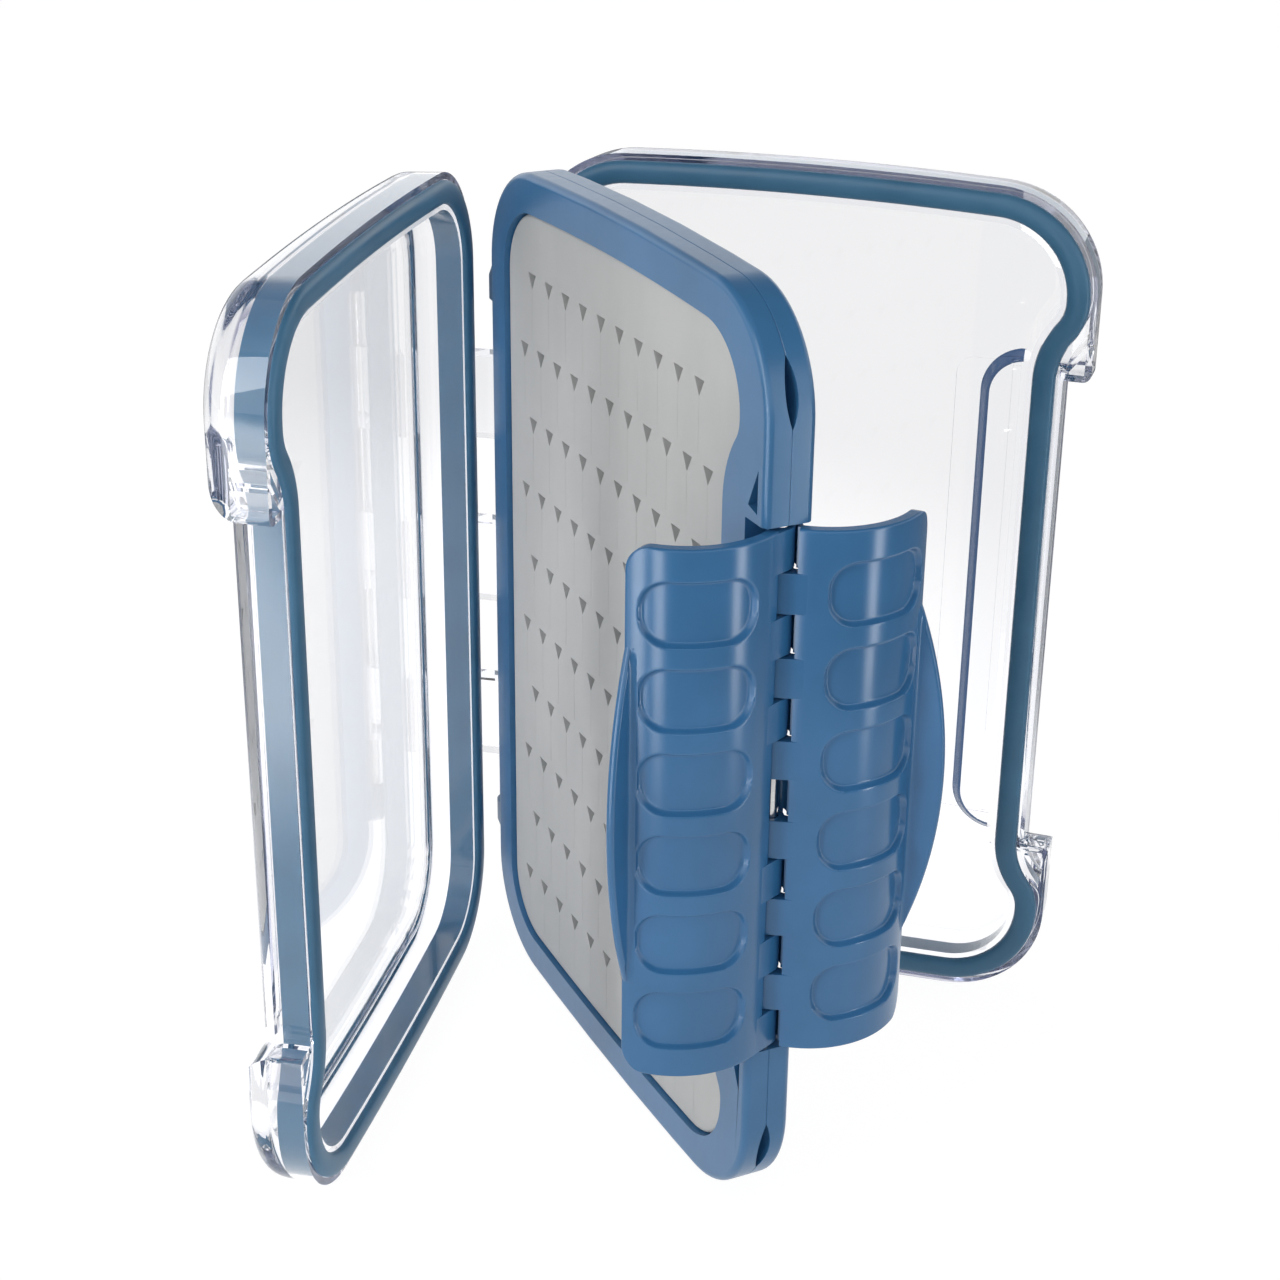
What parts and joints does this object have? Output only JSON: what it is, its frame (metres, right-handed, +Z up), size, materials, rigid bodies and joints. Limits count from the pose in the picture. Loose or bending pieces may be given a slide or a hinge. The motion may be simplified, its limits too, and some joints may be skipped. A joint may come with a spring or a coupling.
{
  "type": "fly box",
  "caption": "Double sided fly box: a middle leaf with slotted pads, a clear gasketed lid over each face and a long snap latch for each lid; it stands opened.",
  "frame": {"origin": "middle of the leaf's lower end, on its middle plane, on which the box stands", "axes": "+Z up along the leaf, +X across it from the hinge pin to the latch pin, +Y through its thickness from the front pad to the back pad"},
  "size_m": [0.1158, 0.1549, 0.153],
  "materials": {
    "blue_plastic": "satin moulded",
    "latch_plastic": "satin moulded",
    "grey_pad": "matt, soft",
    "gasket_rubber": "smooth, soft",
    "clear_plastic": "polished clear polycarbonate",
    "pin_steel": "polished rod"
  },
  "bodies": {
    "leaf": {"front_frame": "blue_plastic", "back_frame": "blue_plastic", "front_pad": "grey_pad", "back_pad": "grey_pad", "hinge_pin": "pin_steel", "latch_pin": "pin_steel"},
    "front_cover": {"front_lid": "clear_plastic", "front_gasket": "gasket_rubber"},
    "back_cover": {"back_lid": "clear_plastic", "back_gasket": "gasket_rubber"},
    "front_snap": {"front_latch": "latch_plastic"},
    "back_snap": {"back_latch": "latch_plastic"}
  },
  "joints": [
    {"name": "front_lid_hinge", "type": "hinge", "parent": "leaf", "child": "front_cover", "pos_m": [-0.05335, 0, 0.0765], "axis": [0, 0, -1], "range_deg": [-38, 52]},
    {"name": "back_lid_hinge", "type": "hinge", "parent": "leaf", "child": "back_cover", "pos_m": [-0.05335, 0, 0.0765], "axis": [0, 0, 1], "range_deg": [-45.5, 44.5]},
    {"name": "front_latch_hinge", "type": "hinge", "parent": "leaf", "child": "front_snap", "pos_m": [0.04835, 0, 0.0765], "axis": [0, 0, 1], "range_deg": [-35, 25]},
    {"name": "back_latch_hinge", "type": "hinge", "parent": "leaf", "child": "back_snap", "pos_m": [0.04835, 0, 0.0765], "axis": [0, 0, -1], "range_deg": [-44, 16]}
  ]
}
